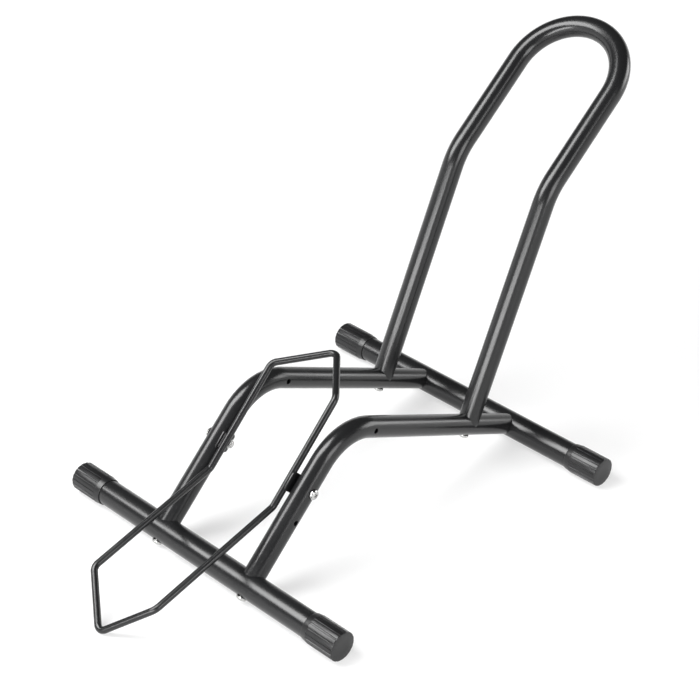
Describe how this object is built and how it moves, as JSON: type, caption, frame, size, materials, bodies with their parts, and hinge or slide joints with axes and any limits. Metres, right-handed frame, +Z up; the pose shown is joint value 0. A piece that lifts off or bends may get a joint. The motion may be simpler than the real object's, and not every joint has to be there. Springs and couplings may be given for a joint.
{
  "type": "floor bike rack",
  "caption": "Floor bike rack with ribbed feet, bent side tubes, a tall leaning hoop and a rocking wire cradle that holds a front wheel.",
  "frame": {"origin": "on the floor, under the middle of the whole rack's bounding box at rest", "axes": "+X to the rider's right along the cross bars, +Y the way the bicycle rolls in, towards the hoop, +Z up"},
  "size_m": [0.422, 0.7936, 0.4543],
  "materials": {
    "black_powder_coat": "satin black powder coat",
    "black_plastic": "moulded matt black",
    "zinc_plate": "bright zinc plate",
    "plain_steel": "plain steel"
  },
  "bodies": {
    "frame": {"front_bar": "black_powder_coat", "rear_bar": "black_powder_coat", "front_left_cap": "black_plastic", "front_right_cap": "black_plastic", "rear_left_cap": "black_plastic", "rear_right_cap": "black_plastic", "left_side_tube": "black_powder_coat", "right_side_tube": "black_powder_coat", "hoop": "black_powder_coat", "front_bar_bolts": "zinc_plate", "rear_bar_bolts": "zinc_plate", "hoop_bolts": "zinc_plate", "front_tube_inserts": "plain_steel", "rear_tube_inserts": "plain_steel", "hoop_inserts": "plain_steel"},
    "cradle": {"cradle_loop": "black_powder_coat", "left_cradle_bracket": "black_powder_coat", "right_cradle_bracket": "black_powder_coat", "left_pivot_bolt": "zinc_plate", "right_pivot_bolt": "zinc_plate", "left_pivot_nut": "zinc_plate", "right_pivot_nut": "zinc_plate"}
  },
  "joints": [
    {"name": "cradle_tilt", "type": "hinge", "parent": "frame", "child": "cradle", "pos_m": [0, -0.15834, 0.09885], "axis": [-1, 0, 0], "range_deg": [-15.69, 78.84]}
  ]
}
